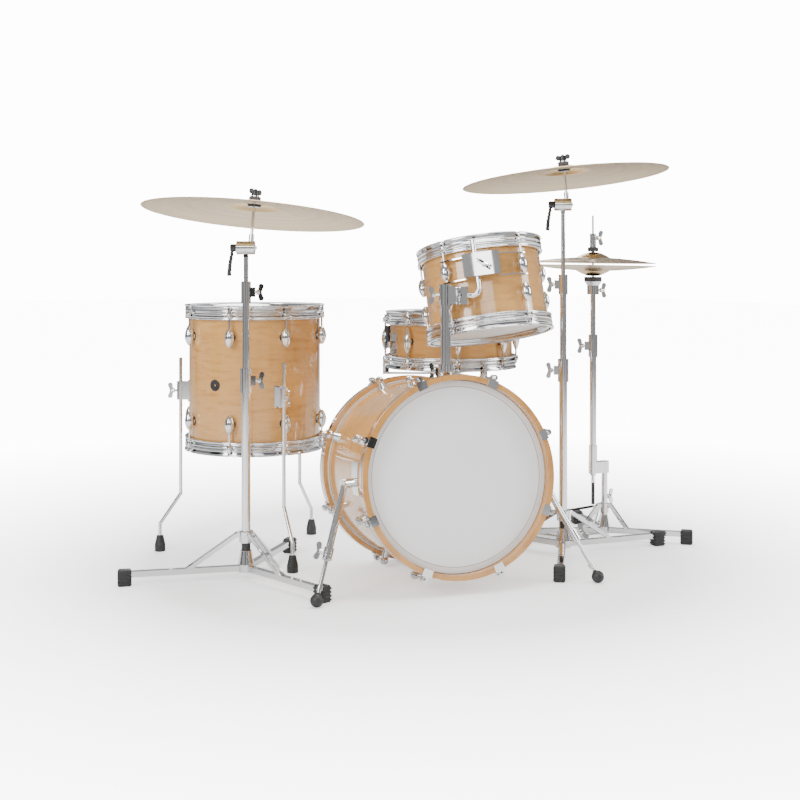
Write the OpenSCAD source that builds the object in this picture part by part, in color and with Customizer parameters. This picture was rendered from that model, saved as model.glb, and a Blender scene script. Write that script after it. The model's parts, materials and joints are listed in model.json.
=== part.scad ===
// Acoustic drum kit: bass drum, rack tom, floor tom, snare drum, two cymbals on stands, hi-hat.
// Millimetres, +Z up. The bass drum's axis runs along Y with its front head towards -Y.

/* [Bass drum] */
// Outer diameter of the bass drum shell
bass_d = 457.2; // [400:0.1:560]
// Depth of the bass drum shell
bass_depth = 355.6; // [300:0.1:430]
// Angle by which the front of the bass drum is raised
bass_tilt = 5; // [0:0.5:7]
// Width of each wooden hoop
bass_hoop_w = 38; // [30:1:42]
// Thickness of each wooden hoop
bass_hoop_t = 13; // [9:0.5:15]
// Number of claws on each bass drum head
bass_claws_n = 8; // [6, 8, 10]

/* [Rack tom] */
// Outer diameter of the tom shell
tom_d = 304.8; // [254:0.1:330]
// Depth of the tom shell
tom_depth = 203.2; // [170:0.1:230]
// Lean of the tom towards the player
tom_lean = 13; // [0:1:15]
// Height of the tom arm above the shell of the bass drum
tom_arm_rise = 221; // [205:1:250]
// Reach of the tom arm from the post to its bend
tom_arm_reach = 87; // [80:1:100]
// Diameter of the tom post
tom_post_d = 25.4; // [22:0.1:28]
// Diameter of the tom arm
tom_arm_d = 12.7; // [10:0.1:13]

/* [Floor tom] */
// Outer diameter of the floor tom shell
floor_d = 355.6; // [320:0.1:410]
// Depth of the floor tom shell
floor_depth = 355.6; // [330:0.1:430]
// Height of the floor tom shell above the floor
floor_rise = 305; // [280:1:340]
// Diameter of the floor tom legs
leg_d = 9.5; // [8:0.1:12]

/* [Snare drum] */
// Outer diameter of the snare drum shell
snare_d = 355.6; // [320:0.1:380]
// Depth of the snare drum shell
snare_depth = 127; // [110:0.1:165]
// Height of the snare drum shell above the floor
snare_rise = 507; // [490:1:600]
// Diameter of the snare stand's lower tube
snare_tube_d = 25.4; // [22:0.1:28]

/* [Shells and hoops] */
// Wall of every drum shell
shell_wall = 6; // [4:0.5:9]
// Reach of each cast hoop past its head
hoop_rise = 18; // [14:1:20]
// Diameter of the tension rods
rod_d = 5.5; // [5:0.1:6]
// Length of the single lugs
lug_len = 48; // [40:1:54]
// Greatest diameter of a lug
lug_d = 25; // [22:1:28]

/* [Cymbals] */
// Diameter of the ride and crash cymbals
cymbal_d = 558.8; // [457:0.1:600]
// Diameter of the hi-hat cymbals
hat_d = 355.6; // [330:0.1:370]
// Thickness of the cymbal metal
cymbal_t = 1.4; // [1:0.1:2]

/* [Cymbal stands] */
// Outer diameter of a stand's lower tube
lower_tube_d = 22.2; // [19:0.1:25]
// Outer diameter of a stand's middle tube
mid_tube_d = 18; // [15:0.1:18.5]
// Outer diameter of a stand's top tube
top_tube_d = 12; // [10:0.1:14]
// Wall of the stand tubes
tube_wall = 1.5; // [1:0.1:1.6]
// Reach of a cymbal stand's feet from its tube
stand_reach = 297; // [260:1:310]
// Height of the ride stand's tilter
ride_tilter_z = 828; // [815:1:900]
// Height of the crash stand's tilter
crash_tilter_z = 949; // [930:1:1000]

/* [Hi-hat] */
// Outer diameter of the hi-hat's lower tube
hat_lower_d = 19; // [18.5:0.1:22]
// Outer diameter of the hi-hat's upper tube
hat_upper_d = 15; // [13:0.1:16]
// Diameter of the hi-hat's pull rod
pull_rod_d = 6; // [5:0.1:6.5]
// Height of the lower hi-hat cymbal's rim
hat_rim_z = 783; // [775:1:820]
// Gap between the hi-hat cymbals' rims
hat_gap = 9; // [5:0.5:14]

/* [Clearances] */
// Radial gap of a hinge pin in its bore
pin_gap = 0.06; // [0.03:0.01:0.09]
// Radial gap between tubes that slide in each other
tube_gap = 0.4; // [0.3:0.1:0.6]
// Gap between pieces that only pass each other
pass_gap = 0.5; // [0.3:0.1:1]

/* [Hidden] */
$fn = 48;

// ---------- bass drum geometry ----------
bass_r = bass_d / 2;
head_t = 0.5;             // film of every drum head
flesh_t = 4;              // flesh hoop: thickness and height
flesh_h = 8;
collar_drop = 6;          // flesh hoop's distance below the bearing edge
bass_hoop_lip = 25;       // reach of a wooden hoop past the shell's edge
bass_hoop_in = bass_r + 2.4;
bass_hoop_r = bass_hoop_in + bass_hoop_t;
bass_end = bass_depth / 2 + bass_hoop_lip;
bass_axis_z = bass_hoop_r * cos(bass_tilt) + bass_end * sin(bass_tilt);
claw_angles = [for (i = [0:bass_claws_n - 1]) (i + 0.5) * 360 / bass_claws_n];
claw_rod_r = bass_hoop_r + 9;   // tension rods run outside the hoop
claw_t = 3;

// ---------- spurs ----------
spur_side = [bass_r + 26.4, -85, bass_axis_z - 4];
spur_foot = [bass_hoop_r + 113, -213, 15.5];
spur_yaw = 18;                 // the pivot pin's turn from the X axis
spur_tube_d = 17;
spur_rod_d = 9.5;
spur_tube_share = 0.66;
spur_dir = (spur_foot - spur_side) / norm(spur_foot - spur_side);
spur_len = norm(spur_foot - spur_side);
spur_pin_r = 4;
spur_knuckle_w = 18;

// ---------- tom mount ----------
tom_mount_out = 96;            // the mount's distance in front of the shell's middle
post_r = tom_post_d / 2;
post_top = bass_r + tom_arm_rise + 27;   // measured from the bass drum's axis
post_low = bass_r - 70;
arm_r = tom_arm_d / 2;
arm_turn = -34;                // direction of the arm's level leg
tom_clamp_r = post_r + 3.5;
tom_arm_h = 140;               // length of the arm's upright leg
arm_bend_r = 16;
bend_swell = 0.3;              // a bent rod is this much thicker at its bends
arm_start = [0, -tom_mount_out, bass_axis_z + bass_r + tom_arm_rise];
arm_bend = arm_start + tom_arm_reach * [cos(arm_turn), sin(arm_turn), 0];
tom_lean_dir = 104.7;          // the tom leans this way
tom_rod_angle = 244;           // where the arm passes the tom, seen along its axis
tom_r = tom_d / 2;
tom_rod_out = 37;              // arm's distance outside the tom's shell
tom_arm_below = 40;            // the bend is this far below the tom's middle
tom_axis = [sin(tom_lean) * cos(tom_lean_dir), sin(tom_lean) * sin(tom_lean_dir), cos(tom_lean)];

// Position of a point given in the tom's own frame, measured from the tom's middle
function lean(p) = let (
    a = tom_lean_dir,
    q = [p.x * cos(a) + p.y * sin(a), -p.x * sin(a) + p.y * cos(a), p.z],
    s = [q.x * cos(tom_lean) + q.z * sin(tom_lean), q.y, -q.x * sin(tom_lean) + q.z * cos(tom_lean)])
    [s.x * cos(a) - s.y * sin(a), s.x * sin(a) + s.y * cos(a), s.z];
tom_rod_local = [(tom_r + tom_rod_out) * cos(tom_rod_angle),
    (tom_r + tom_rod_out) * sin(tom_rod_angle), -tom_arm_below];
tom_at = arm_bend - lean(tom_rod_local);
tom_lug_angles = [for (i = [0:4]) 214.5 + i * 72];
rail_gap = 2;                  // rails stand this far from the lug ends
rail_t = 3;

// ---------- cast hoops, lugs and rods ----------
rod_r = rod_d / 2;
rod_out = 13;                  // tension rods' distance outside the shell
hoop_wall_in = 4.8;
hoop_wall_out = 10.5;
hoop_drop = 19;                // how far a cast hoop reaches below the head
ear_top = -2;                  // hoop ears, measured from the shell's edge
ear_h = 12;
ear_r = 7.5;
lug_start = 41;                // a single lug's distance below the shell's edge
snare_lug_len = 66;
snare_lug_d = 22;

// ---------- floor tom ----------
floor_r = floor_d / 2;
floor_at = [-(bass_hoop_r + 136.5), bass_depth / 2 + 205.5];
floor_lug_angles = [for (i = [0:7]) 13.5 + i * 45];
floor_leg_angles = [40, 160, 280];
leg_r = leg_d / 2;
leg_out = 27;                  // a leg's distance outside the shell
leg_top_z = floor_rise + 226;
leg_bend_z = 158;
leg_knee_z = 74;
leg_splay = 57;
leg_bracket_z = floor_rise + 107;
leg_bracket_h = 58;

// ---------- snare drum ----------
snare_r = snare_d / 2;
snare_at = [snare_r + 26.3, bass_depth / 2 + 240.4];
snare_lug_angles = [for (i = [0:7]) 30.4 + i * 45];
strainer_angle = 187.9;
snare_mid_z = snare_rise + snare_depth / 2;
wires_w = 42;
wires_n = 20;

// ---------- snare stand ----------
snare_tube_r = snare_tube_d / 2;
snare_leg_angles = [340, 100, 220];
snare_reach = 195;
snare_post_d = 18;
fold_pivot = [26, 28];         // leg hinge on the hub: distance from the tube's axis, height
fold_leg_at = 98;              // brace pivot's distance along the leg
fold_collar = [24, 105];       // brace hinge on the collar: distance from the axis, height
snare_bar_w = 14;
snare_bar_h = 12;
snare_clamp_z = 318;
tilt_pivot_z = snare_rise - 60;
basket_arm_angles = [279, 159, 39];
basket_z = snare_rise - 34;

// ---------- cymbal stands ----------
lower_r = lower_tube_d / 2;
mid_r = mid_tube_d / 2;
top_r = top_tube_d / 2;
view_turn = -18;               // direction of the tilters' barrels
ride_at = [-(bass_hoop_r + 216.8), bass_depth / 2 - 80.7];
ride_leg_turn = 175.5;
ride_lean = [0.102, 0.069, 0.992];
crash_at = [bass_hoop_r + 165.6, bass_depth / 2 - 82.7];
crash_leg_turn = 2.8;
crash_lean = [-0.0665, 0.083, 0.994];
ride_clamps = [465, 690];      // undersides of a stand's two clamps
crash_clamps = [468, 705];
clamp_h = [62, 54];
clamp_wall = 3.5;
bar_w = 16;
bar_h = 14;
bar_z = 21;                    // underside of the leg bars
foot_l = 34;
foot_w = 30;
foot_h = 40;
foot_past = 4;                 // rubber beyond a leg bar's end
tilter_w = 46;
tilter_r = 17;
tilter_pin_r = 4;
cymbal_rod_r = 4;
cymbal_hole_r = 6.5;
ride_rise = 82;                // rim's height above the tilter's pin
crash_rise = 70;
bow_h = 22;
bell_h = 15;
bell_r = 74;
felt_h = 9;
felt_r = 18;

// ---------- hi-hat ----------
hat_at = [crash_at.x + 152.3, crash_at.y + 124];
hat_hub = [hat_at.x + 37.9, hat_at.y + 3.4];
hat_leg_angles = [-33, 84, 166];
hat_reach = 229;
hat_lower_r = hat_lower_d / 2;
hat_upper_r = hat_upper_d / 2;
pull_r = pull_rod_d / 2;
hat_block_z = 192;
hat_clamp_z = 523;
hat_bow_h = 15;
hat_bell_h = 15;
hat_bell_r = 48;
hat_lean = 1;                  // slant of both hi-hat cymbals
pedal_turn = 126;
pedal_heel = 292;              // heel hinge's distance from the pull rod
pedal_heel_z = 20;
pedal_toe_z = 98;
pedal_w = 80;
pedal_t = 6;
pedal_toe_w = 14;              // width of the board's toe
pedal_pin_r = 3;

// ---------- origin: middle of the whole kit's box, on the floor ----------
// Reach along one axis of the foot of a leg that stands at angle a from that axis
function foot_reach(reach, a) = (reach + foot_l / 2) * abs(cos(a)) + foot_w / 2 * abs(sin(a));
far_left = ride_at.x - foot_reach(stand_reach, ride_leg_turn);
far_right = hat_hub.x + foot_reach(hat_reach, hat_leg_angles[0]);
far_front = -(bass_end + 10) * cos(bass_tilt) - claw_rod_r * cos(22.5) * sin(bass_tilt);
far_back = snare_at.y + foot_reach(snare_reach, snare_leg_angles[1] - 90);
mid = [(far_left + far_right) / 2, (far_front + far_back) / 2, 0];

// ---------- helpers ----------
module kit(colour) color(colour) translate(-mid) children();

// Turns +Z to point along dir
module pointing(dir) rotate([0, acos(dir.z / norm(dir)), atan2(dir.y, dir.x)]) children();

module bar(a, b, r) translate(a) pointing(b - a) cylinder(r = r, h = norm(b - a));

module pipe(r_out, r_in, h) difference() {
    cylinder(r = r_out, h = h);
    translate([0, 0, -1]) cylinder(r = r_in, h = h + 2);
}

module ring(r_out, r_in, z0, z1) translate([0, 0, z0]) pipe(r_out, r_in, z1 - z0);

// Both ends of a drum: the second copy is turned over
module both_ends(depth) {
    translate([0, 0, depth / 2]) children();
    translate([0, 0, -depth / 2]) mirror([0, 0, 1]) children();
}

module around(angles) for (a = angles) rotate(a) children();

// Wing screw along +X: shank, hub and two upright wings
module wing_screw(shank) {
    rotate([0, 90, 0]) cylinder(r = 3, h = shank + 2);
    translate([shank, 0, 0]) rotate([0, 90, 0]) cylinder(r1 = 7, r2 = 5, h = 9);
    for (s = [-1, 1]) translate([shank + 9, -1.8, 0]) rotate([-90, 0, 0]) linear_extrude(3.6)
        difference() {
            union() {
                translate([3, s * 15]) circle(r = 6.5);
                polygon([[-6, 0], [4, 0], [9, s * 14], [-3, s * 16]]);
            }
            translate([-20, -s * 10 - 10]) square([40, 1]);
        }
}

// Key-headed tension rod hanging from a hoop ear, its head above z = 0
module tension_rod(length) {
    translate([0, 0, -length]) cylinder(r = rod_r, h = length + 1);
    cylinder(r = 5.2, h = 2.6);
    translate([-3, -3, 2]) cube([6, 6, 8]);
}

// Long pointed barrel, thickest in the middle
module spindle(length, d) rotate_extrude() intersection() {
    rise = d / 2;
    arc = (pow(length / 2 + 4, 2) + rise * rise) / (2 * rise);
    translate([rise - arc, 0]) circle(r = arc, $fn = 180);
    translate([0, -length / 2]) square([rise + 1, length]);
}

// Lug on a shell of radius r: a spindle on a round foot, bored for its rods
module lug(r, length, d, out, bores) difference() {
    union() {
        translate([r + out, 0, 0]) spindle(length, d);
        translate([r - 4, 0, 0]) rotate([0, 90, 0]) cylinder(r = d * 0.36, h = out + 4);
    }
    translate([0, 0, -length]) cylinder(r = r, h = 2 * length, $fn = 180);
    for (s = bores) translate([r + out, 0, s > 0 ? 6 : -length])
        cylinder(r = rod_r + pass_gap, h = length - 6);
}

// Drum head lying on a shell's edge at z = 0: film, collar and flesh hoop
module drum_head(r) {
    cylinder(r = r + 1.2, h = head_t, $fn = 180);
    ring(r + 1.2, r + 0.6, -collar_drop, 0, $fn = 180);
    ring(r + flesh_t, r + 0.6, -collar_drop - flesh_h, -collar_drop, $fn = 180);
}

// Cast hoop over a head, with an ear for each rod
module cast_hoop(r, angles) difference() {
    union() {
        rotate_extrude($fn = 180) polygon([
            [r + hoop_wall_in, -hoop_drop], [r + hoop_wall_out, -hoop_drop],
            [r + hoop_wall_out, hoop_rise - 4], [r + hoop_wall_out + 2, hoop_rise - 3],
            [r + hoop_wall_out + 2, hoop_rise], [r + 4.2, hoop_rise], [r + 4.2, 4],
            [r + 2, 2], [r + 2, -collar_drop + 0.2], [r + hoop_wall_in, -collar_drop + 0.2]]);
        around(angles) translate([r + rod_out, 0, ear_top - ear_h]) cylinder(r = ear_r, h = ear_h);
    }
    around(angles) translate([r + rod_out, 0, -hoop_drop - 1])
        cylinder(r = rod_r + pass_gap, h = hoop_drop + hoop_rise + 2);
    // keeps the flesh hoop's place clear of the ears
    translate([0, 0, -hoop_drop - 1])
        cylinder(r = r + hoop_wall_in, h = hoop_drop + 1 - collar_drop + 0.2, $fn = 180);
    around(angles) translate([r + rod_out, 0, ear_top]) cylinder(r = ear_r - 0.5, h = hoop_rise + 3);
}

module drum_shell(r, depth) translate([0, 0, -depth / 2])
    pipe(r, r - shell_wall, depth, $fn = 180);

module drum_hoops(r, depth, angles) both_ends(depth) cast_hoop(r, angles);

module drum_heads(r, depth) both_ends(depth) drum_head(r);

module drum_rods(r, depth, angles, length) both_ends(depth) around(angles)
    translate([r + rod_out, 0, ear_top]) tension_rod(length);

// ---------- frames of the four drums ----------
module bass_frame() translate([0, 0, bass_axis_z]) rotate([90 - bass_tilt, 0, 0]) children();

module post_frame() translate([0, -tom_mount_out, bass_axis_z]) children();

module tom_frame() translate(tom_at) rotate([0, 0, tom_lean_dir]) rotate([0, tom_lean, 0])
    rotate([0, 0, -tom_lean_dir]) children();

module floor_frame() translate([floor_at.x, floor_at.y, floor_rise + floor_depth / 2]) children();

module snare_frame() translate([snare_at.x, snare_at.y, snare_mid_z]) children();

// ---------- bass drum ----------
module bass_shell() kit("burlywood") bass_frame() difference() {
    drum_shell(bass_r, bass_depth);
    rotate([bass_tilt - 90, 0, 0]) translate([0, -tom_mount_out, 0])
        cylinder(r = post_r + 2, h = bass_r + 40);
}

module bass_hoops() kit("peru") bass_frame() both_ends(bass_depth) rotate_extrude($fn = 180)
    polygon([
        [bass_hoop_in, -collar_drop + 0.2], [bass_r + flesh_t + 0.6, -collar_drop + 0.2],
        [bass_r + flesh_t + 0.6, bass_hoop_lip - bass_hoop_w],
        [bass_hoop_r, bass_hoop_lip - bass_hoop_w], [bass_hoop_r, bass_hoop_lip],
        [bass_hoop_in, bass_hoop_lip]]);

module bass_heads() kit("whitesmoke") bass_frame() drum_heads(bass_r, bass_depth);

bass_lug_z = 52;               // a bass lug's distance from the shell's edge
bass_lug_len = 36;

module bass_lug() difference() {
    union() {
        translate([claw_rod_r, 0, 0]) spindle(bass_lug_len, 20);
        translate([bass_r - 3, 0, 0]) rotate([0, 90, 0])
            cylinder(r1 = 13, r2 = 7, h = claw_rod_r - bass_r + 3);
    }
    translate([0, 0, -30]) cylinder(r = bass_r, h = 60, $fn = 180);
    translate([claw_rod_r, 0, -6]) cylinder(r = rod_r + pass_gap, h = 30);
}

module bass_lugs() kit("silver") bass_frame() both_ends(bass_depth) around(claw_angles)
    translate([0, 0, -bass_lug_z]) bass_lug();

// Hook over a wooden hoop, its boss round the tension rod
module claw_hook() difference() {
    union() {
        rotate(-3) rotate_extrude(angle = 6, $fn = 360) polygon([
            [bass_hoop_r + 0.2, bass_hoop_lip - 22], [bass_hoop_r + 0.2, bass_hoop_lip + 0.2],
            [bass_hoop_in - 0.2, bass_hoop_lip + 0.2], [bass_hoop_in - 0.2, bass_hoop_lip - 8],
            [bass_hoop_in - claw_t, bass_hoop_lip - 8],
            [bass_hoop_in - claw_t, bass_hoop_lip + claw_t],
            [bass_hoop_r + 0.2 + claw_t, bass_hoop_lip + claw_t],
            [bass_hoop_r + 0.2 + claw_t, bass_hoop_lip - 22]]);
        translate([claw_rod_r, 0, bass_hoop_lip - 18]) cylinder(r = 7.5, h = 18);
    }
    translate([0, 0, bass_hoop_lip - 20]) cylinder(r = bass_hoop_r + 0.2, h = 20, $fn = 180);
    translate([claw_rod_r, 0, bass_hoop_lip - 19]) cylinder(r = rod_r + pass_gap, h = 40);
}

module bass_claws() kit("silver") bass_frame() both_ends(bass_depth) around(claw_angles) {
    claw_hook();
    translate([claw_rod_r, 0, bass_hoop_lip])
        tension_rod(bass_hoop_lip + bass_lug_z - 2);
}

// Fitted to the shell: spur brackets on both sides and the tom mount on top
module bass_brackets() kit("silver") {
    difference() {
        union() {
            for (s = [-1, 1]) spur_side(s) spur_bracket();
            post_frame() translate([0, 0, bass_r - 12]) {
                cylinder(r = post_r + 17, h = 28);
                cylinder(r = post_r + 6, h = 62);
                rotate(125) translate([post_r + 2, -6, 32]) cube([12, 12, 20]);
                rotate(125) translate([post_r + 12, 0, 42]) wing_screw(6);
            }
        }
        bass_frame() cylinder(r = bass_r, h = bass_depth, center = true, $fn = 180);
        post_frame() cylinder(r = post_r + pin_gap, h = bass_r + 160);
    }
    for (s = [-1, 1]) spur_side(s) spur_pin();
}

// ---------- spurs: drawn for the viewer's left, mirrored for the right ----------
module spur_side(s) if (s < 0) children(); else mirror([1, 0, 0]) children();

spur_pivot = [-spur_side.x, spur_side.y, spur_side.z];
spur_down = [-spur_dir.x, spur_dir.y, spur_dir.z];
spur_pin_dir = [cos(spur_yaw), sin(spur_yaw), 0];

module spur_bracket() {
    bass_frame_plate();
    translate(spur_pivot) pointing(spur_pin_dir) translate([0, 0, spur_knuckle_w / 2 + pass_gap])
        cylinder(r = 11, h = 40);
}

// Curved plate on the shell's side
module bass_frame_plate() bass_frame() translate([0, 0, spur_plate_z]) rotate(180 - 10)
    rotate_extrude(angle = 20, $fn = 360) translate([bass_r - 1, 0]) square([4.5, 50]);

spur_plate_z = 64;

module spur_pin() translate(spur_pivot) pointing(spur_pin_dir)
    translate([0, 0, -spur_knuckle_w / 2]) cylinder(r = spur_pin_r, h = spur_knuckle_w + 2);

module spur_tube(s) kit("silver") spur_side(s) difference() {
    end = spur_len * spur_tube_share;
    union() {
        translate(spur_pivot) pointing(spur_pin_dir)
            cylinder(r = 12, h = spur_knuckle_w, center = true);
        translate(spur_pivot) pointing(spur_down) {
            cylinder(r = spur_tube_d / 2, h = end);
            translate([0, 0, end - 28]) cylinder(r = spur_tube_d / 2 + 3, h = 28);
            translate([0, 0, end - 14]) rotate(spur_wing) wing_screw(spur_tube_d / 2 + 6);
        }
    }
    translate(spur_pivot) pointing(spur_pin_dir)
        cylinder(r = spur_pin_r + pin_gap, h = 40, center = true);
    translate(spur_pivot) pointing(spur_down) translate([0, 0, 30])
        cylinder(r = spur_rod_d / 2 + tube_gap, h = spur_len);
}

spur_wing = -130;

module spur_rod(s) kit("dimgray") spur_side(s) translate(spur_pivot) pointing(spur_down) {
    start = spur_len * spur_tube_share - 95;
    difference() {
        union() {
            translate([0, 0, start]) cylinder(r = spur_rod_d / 2, h = spur_len - start - 10);
            translate([0, 0, spur_len - 36]) cylinder(r = 7, h = 12);
        }
        translate([0, 0, spur_len]) sphere(r = 15.5);
    }
    difference() {
        translate([0, 0, spur_len]) sphere(r = 15.5);
        translate([0, 0, -30]) cylinder(r = 2, h = 20);
    }
}

// ---------- tom mount ----------
module tom_post() kit("silver") post_frame() ring(post_r, post_r - 2, post_low, post_top);

module tom_clamp() kit("silver") difference() {
    union() {
        translate(arm_start) cylinder(r = tom_clamp_r, h = 52, center = true);
        translate(arm_start) rotate(arm_turn) {
            translate([0, -13, -22]) cube([58, 26, 44]);
            translate([36, -13, 0]) rotate([0, 0, -90]) wing_screw(4);
        }
        translate(arm_start) rotate(arm_turn + 180) translate([tom_clamp_r - 2, 0, 0])
            wing_screw(10);
    }
    translate(arm_start) cylinder(r = post_r + pin_gap, h = 300, center = true);
    translate(arm_start) rotate(arm_turn) rotate([0, 90, 0])
        translate([0, 0, tom_clamp_r + 3]) cylinder(r = arm_r + pin_gap, h = 80);
}

// Level leg held in the clamp, a bend, and the upright leg along the tom's axis
module tom_arm() kit("silver") {
    level = [cos(arm_turn), sin(arm_turn), 0];
    bend_in = arm_bend - level * arm_bend_r;
    bend_out = arm_bend + tom_axis * arm_bend_r;
    bar(arm_start + level * (tom_clamp_r + 4), bend_in, arm_r);
    bar(bend_out, arm_bend + tom_axis * tom_arm_h, arm_r);
    corner = bend_in + bend_out - arm_bend;
    middle = corner + (arm_bend - corner) * (arm_bend_r / norm(arm_bend - corner));
    bar(bend_in, middle, arm_r);
    bar(middle, bend_out, arm_r);
    for (p = [bend_in, middle, bend_out]) translate(p) sphere(r = arm_r + bend_swell);
}

// Two rails from lug to lug, the plate between them and the clamp round the arm
module tom_suspension() kit("silver") tom_frame() difference() {
    low = tom_depth / 2 - lug_start - lug_len - rail_gap - rail_t;
    high = tom_depth / 2 - lug_start + rail_gap;
    union() {
        for (z = [low, high]) translate([0, 0, z]) rotate(tom_lug_angles[0] - 3)
            rotate_extrude(angle = 78, $fn = 180) translate([tom_r + 6, 0]) square([12, rail_t]);
        translate([0, 0, low]) rotate(tom_rod_angle - 9) rotate_extrude(angle = 26, $fn = 180)
            translate([tom_r + tom_rod_out + arm_r + 3, 0]) square([3.5, high - low + rail_t]);
        for (z = [low, high]) translate([0, 0, z]) rotate(tom_rod_angle - 9)
            rotate_extrude(angle = 26, $fn = 180)
                translate([tom_r + 12, 0]) square([tom_rod_out + arm_r - 5, rail_t]);
        rotate(tom_rod_angle) translate([tom_r + tom_rod_out, 0, low])
            cylinder(r = arm_r + 5, h = high - low);
        rotate(tom_rod_angle + 6) translate([tom_r + tom_rod_out + arm_r + 4, 0, (low + high) / 2])
            rotate([55, 0, 0]) wing_screw(8);
    }
    rotate(tom_rod_angle) translate([tom_r + tom_rod_out, 0, -tom_depth])
        cylinder(r = arm_r + pin_gap, h = 2 * tom_depth);
    around([tom_lug_angles[0], tom_lug_angles[1]]) translate([tom_r + rod_out, 0, 0])
        cylinder(r = rod_r + pass_gap, h = tom_depth);
}

module tom_shell() kit("burlywood") tom_frame() drum_shell(tom_r, tom_depth);
module tom_hoops() kit("silver") tom_frame() drum_hoops(tom_r, tom_depth, tom_lug_angles);
module tom_heads() kit("whitesmoke") tom_frame() drum_heads(tom_r, tom_depth);

module tom_lugs() kit("silver") tom_frame() {
    single_lugs(tom_r, tom_depth, tom_lug_angles);
    drum_rods(tom_r, tom_depth, tom_lug_angles, lug_start + 24);
}

module single_lugs(r, depth, angles) both_ends(depth) around(angles)
    translate([0, 0, -lug_start - lug_len / 2]) lug(r, lug_len, lug_d, rod_out, [1]);

// ---------- floor tom ----------
module floor_tom_shell() kit("burlywood") floor_frame() drum_shell(floor_r, floor_depth);
module floor_tom_hoops() kit("silver") floor_frame()
    drum_hoops(floor_r, floor_depth, floor_lug_angles);
module floor_tom_heads() kit("whitesmoke") floor_frame() drum_heads(floor_r, floor_depth);

module floor_tom_lugs() kit("silver") floor_frame() {
    single_lugs(floor_r, floor_depth, floor_lug_angles);
    drum_rods(floor_r, floor_depth, floor_lug_angles, lug_start + 24);
}

module leg_brackets() kit("silver") translate([floor_at.x, floor_at.y, leg_bracket_z])
    around(floor_leg_angles) difference() {
        union() {
            translate([floor_r - 4, -17, 0]) cube([8, 34, leg_bracket_h]);
            translate([floor_r, -9, 4]) cube([leg_out, 18, leg_bracket_h - 8]);
            translate([floor_r + leg_out, 0, 4]) cylinder(r = leg_r + 6, h = leg_bracket_h - 8);
            translate([floor_r + leg_out + leg_r + 4, 0, leg_bracket_h / 2]) wing_screw(8);
        }
        translate([0, 0, -1]) cylinder(r = floor_r, h = leg_bracket_h + 2, $fn = 180);
        translate([floor_r + leg_out, 0, -1]) cylinder(r = leg_r + pin_gap, h = leg_bracket_h + 2);
    }

// Leg at angle a: straight rod, splayed shin and rubber foot
module floor_leg(a) kit("gray") translate([floor_at.x, floor_at.y, 0]) rotate(a) {
    hip = [floor_r + leg_out, 0, leg_bend_z];
    knee = [floor_r + leg_out + leg_splay, 0, leg_knee_z];
    translate(hip) cylinder(r = leg_r, h = leg_top_z - leg_bend_z);
    bar(hip, knee, leg_r);
    for (p = [hip, knee]) translate(p) sphere(r = leg_r + bend_swell);
    difference() {
        translate([knee.x, 0, 30]) cylinder(r = leg_r, h = leg_knee_z - 30);
        translate([knee.x, 0, 0]) cylinder(r = 20, h = 43);
    }
    translate([knee.x, 0, 0]) {
        cylinder(r = 14.5, h = 18);
        translate([0, 0, 18]) cylinder(r1 = 14.5, r2 = 9, h = 25);
    }
}

// ---------- snare drum ----------
module snare_shell() kit("burlywood") snare_frame() drum_shell(snare_r, snare_depth);
module snare_heads() kit("whitesmoke") snare_frame() drum_heads(snare_r, snare_depth);
module snare_hoops() kit("silver") snare_frame() drum_hoops(snare_r, snare_depth, snare_lug_angles);

module snare_lugs() kit("silver") snare_frame() {
    around(snare_lug_angles) lug(snare_r, snare_lug_len, snare_lug_d, rod_out, [-1, 1]);
    drum_rods(snare_r, snare_depth, snare_lug_angles, snare_depth / 2 - 5);
}

// Wire strands and their end plates, just under the lower head
module snare_wires() kit("silver") snare_frame() rotate(strainer_angle)
    translate([0, 0, -snare_depth / 2 - head_t - 0.3]) {
        for (s = [-1, 1]) translate([s * (snare_r - 24) - 7, -wires_w / 2, -2.5])
            cube([14, wires_w, 2.5]);
        for (i = [0:wires_n - 1])
            translate([-snare_r + 31, (i - (wires_n - 1) / 2) * (wires_w - 4) / wires_n, -1.2])
                rotate([0, 90, 0]) cylinder(r = 0.6, h = 2 * snare_r - 62, $fn = 16);
    }

strainer_z = -12;              // strainer's middle, measured from the shell's
lever_pin_out = 26;

// Strainer body on one side of the shell, butt plate on the other
module snare_strainer() kit("silver") snare_frame() {
    rotate(strainer_angle) difference() {
        union() {
            translate([snare_r - 4, -15, strainer_z - 30]) cube([10, 30, 60]);
            for (s = [-1, 1]) translate([snare_r, s * 10.5 - 3, strainer_z - 9])
                cube([lever_pin_out + 4, 6, 18]);
            translate([snare_r + 11, 0, strainer_z - 27]) cylinder(r = 7, h = 14);
        }
        translate([0, 0, -60]) cylinder(r = snare_r, h = 120, $fn = 180);
    }
    rotate(strainer_angle) translate([snare_r + lever_pin_out - 2, 0, strainer_z])
        rotate([90, 0, 0]) cylinder(r = 2.5, h = 20, center = true);
    rotate(strainer_angle + 180) difference() {
        translate([snare_r - 4, -14, strainer_z - 26]) cube([14, 28, 34]);
        translate([0, 0, -60]) cylinder(r = snare_r, h = 120, $fn = 180);
    }
}

// Throw-off lever: hooks round its pin and stands up against the strainer
module snare_lever() kit("dimgray") snare_frame() rotate(strainer_angle)
    translate([snare_r + lever_pin_out - 2, 0, strainer_z]) difference() {
        union() {
            rotate([90, 0, 0]) cylinder(r = 6, h = 14, center = true);
            translate([-2, -7, 0]) cube([6, 14, 42]);
            translate([-3, -9, 34]) cube([9, 18, 20]);
        }
        rotate([90, 0, 0]) cylinder(r = 2.5 + pin_gap, h = 40, center = true);
    }

// ---------- snare stand ----------
module snare_spot() translate([snare_at.x, snare_at.y, 0]) children();

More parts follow.
